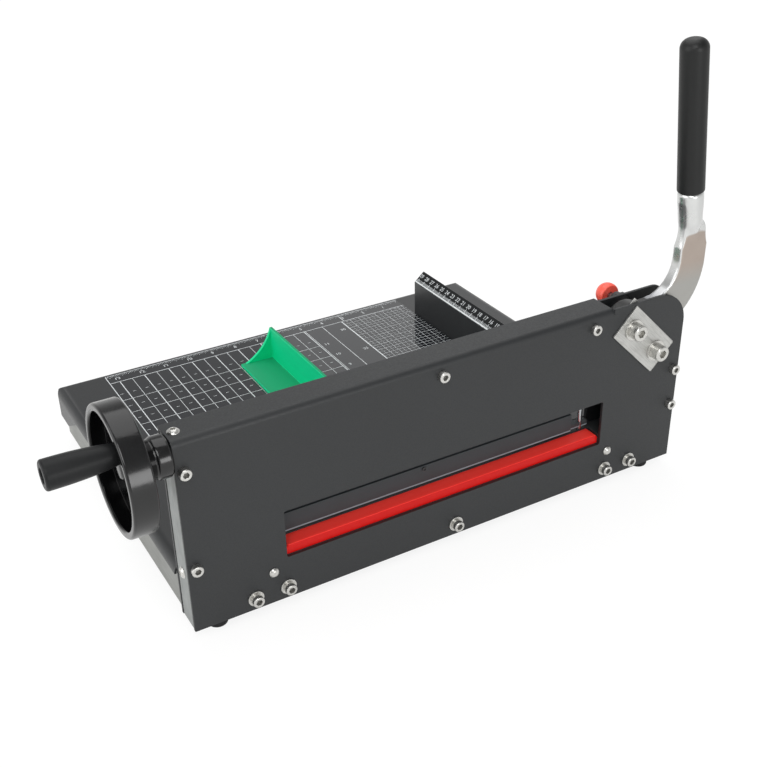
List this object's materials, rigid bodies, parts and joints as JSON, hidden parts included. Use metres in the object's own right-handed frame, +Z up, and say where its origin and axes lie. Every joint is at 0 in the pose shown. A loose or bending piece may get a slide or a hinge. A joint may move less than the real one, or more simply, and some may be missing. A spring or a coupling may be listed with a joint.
{
  "type": "stack paper cutter",
  "caption": "Desk paper cutter: black table and two-plate gantry, a lever that swings the knife down on a red stick, a hand wheel that winds the clamp, ruler fence and green pusher",
  "frame": {"origin": "middle of the footprint's bounding box, on the surface that the rubber feet stand on", "axes": "+X along the gantry to the operator's right, +Y away from the operator over the table, +Z up"},
  "size_m": [0.593, 0.3925, 0.3992],
  "materials": {
    "black_coat": "fine black powder coat",
    "dark_steel": "black oxide, slightly oily",
    "end_metal": "satin, light grey",
    "bed_metal": "black, semi-matte",
    "red_stick": "smooth, slightly glossy red",
    "red_knob": "glossy red",
    "green_plastic": "smooth bright green",
    "foot_rubber": "matte black",
    "silver_plate": "satin with faint scratches",
    "bright_zinc": "bright zinc plate",
    "lever_chrome": "satin chrome, darker at the pivot",
    "grip_rubber": "matte black",
    "ground_steel": "ground",
    "plain_steel": "turned, lightly oiled",
    "nut_brass": "turned",
    "wheel_plastic": "glossy black",
    "handle_plastic": "satin black"
  },
  "bodies": {
    "frame": {"front_plate": "black_coat", "rear_plate": "black_coat", "table_tray": "black_coat", "fence": "black_coat", "lock_bush": "dark_steel", "left_end_block": "end_metal", "right_end_block": "end_metal", "left_rail": "end_metal", "right_rail": "end_metal", "front_rail": "end_metal", "back_rail": "end_metal", "bed_bar": "bed_metal", "screw_block": "bed_metal", "cutting_stick": "red_stick", "feet": "foot_rubber", "outer_silver_plate": "silver_plate", "inner_silver_plate": "silver_plate", "pivot_bolt": "bright_zinc", "brace_bolt": "bright_zinc", "pivot_washers": "bright_zinc", "pivot_nuts": "bright_zinc", "plate_screws": "bright_zinc", "base_bolts": "bright_zinc", "base_washers": "bright_zinc", "pan_screws": "bright_zinc", "button_screws": "bright_zinc", "fence_screws": "bright_zinc", "guide_rods": "ground_steel", "spacer_post": "ground_steel", "pivot_sleeve": "plain_steel", "link_stud": "plain_steel"},
    "lever": {"lever_arm": "lever_chrome", "lever_grip": "grip_rubber", "crank_pin": "plain_steel"},
    "knife": {"knife_carrier": "dark_steel", "knife_blade": "ground_steel", "knife_screws": "plain_steel", "link_pin": "plain_steel"},
    "link": {"swing_link": "plain_steel"},
    "wheel": {"hand_wheel": "wheel_plastic", "wheel_cap": "wheel_plastic", "drive_screw": "plain_steel", "handle_spindle": "plain_steel"},
    "handle": {"crank_handle": "handle_plastic"},
    "wedge": {"wedge_bar": "plain_steel", "feed_nut": "nut_brass"},
    "clamp": {"clamp_plate": "dark_steel", "clamp_pins": "plain_steel"},
    "lock": {"lock_pin": "plain_steel", "lock_knob": "red_knob"},
    "pusher": {"pusher": "green_plastic"}
  },
  "joints": [
    {"name": "lever_swing", "type": "hinge", "parent": "frame", "child": "lever", "pos_m": [0.2145, -0.14625, 0.1595], "axis": [0, -1, 0], "range_deg": [0, 80]},
    {"name": "knife_level", "type": "hinge", "parent": "lever", "child": "knife", "pos_m": [0.15935, -0.14475, 0.14978], "axis": [0, -1, 0], "range_deg": [-80, 0]},
    {"name": "link_swing", "type": "hinge", "parent": "frame", "child": "link", "pos_m": [-0.0755, -0.14985, 0.1518], "axis": [0, -1, 0], "range_deg": [0, 80]},
    {"name": "wheel_turn", "type": "hinge", "parent": "frame", "child": "wheel", "pos_m": [-0.227, -0.14675, 0.1688], "axis": [1, 0, 0], "range_deg": [-48.7, 702.1]},
    {"name": "handle_spin", "type": "hinge", "parent": "wheel", "child": "handle", "pos_m": [-0.266, -0.16676, 0.19441], "axis": [1, 0, 0], "continuous": true},
    {"name": "wedge_slide", "type": "slide", "parent": "frame", "child": "wedge", "axis": [1, 0, 0], "range_m": [-0.0027, 0.039]},
    {"name": "clamp_slide", "type": "slide", "parent": "frame", "child": "clamp", "axis": [0, 0, 1], "range_m": [-0.0027, 0.039]},
    {"name": "lock_push", "type": "slide", "parent": "frame", "child": "lock", "axis": [0, -1, 0], "range_m": [0, 0.006]},
    {"name": "pusher_slide", "type": "slide", "parent": "frame", "child": "pusher", "axis": [1, 0, 0], "range_m": [-0.11, 0.155]}
  ],
  "couplings": [
    {"joint": "knife_level", "follows": "lever_swing", "ratio": -1},
    {"joint": "link_swing", "follows": "lever_swing", "ratio": 1},
    {"joint": "wheel_turn", "follows": "clamp_slide", "rad_per_m": 314.16},
    {"joint": "wedge_slide", "follows": "clamp_slide", "ratio": 1}
  ]
}
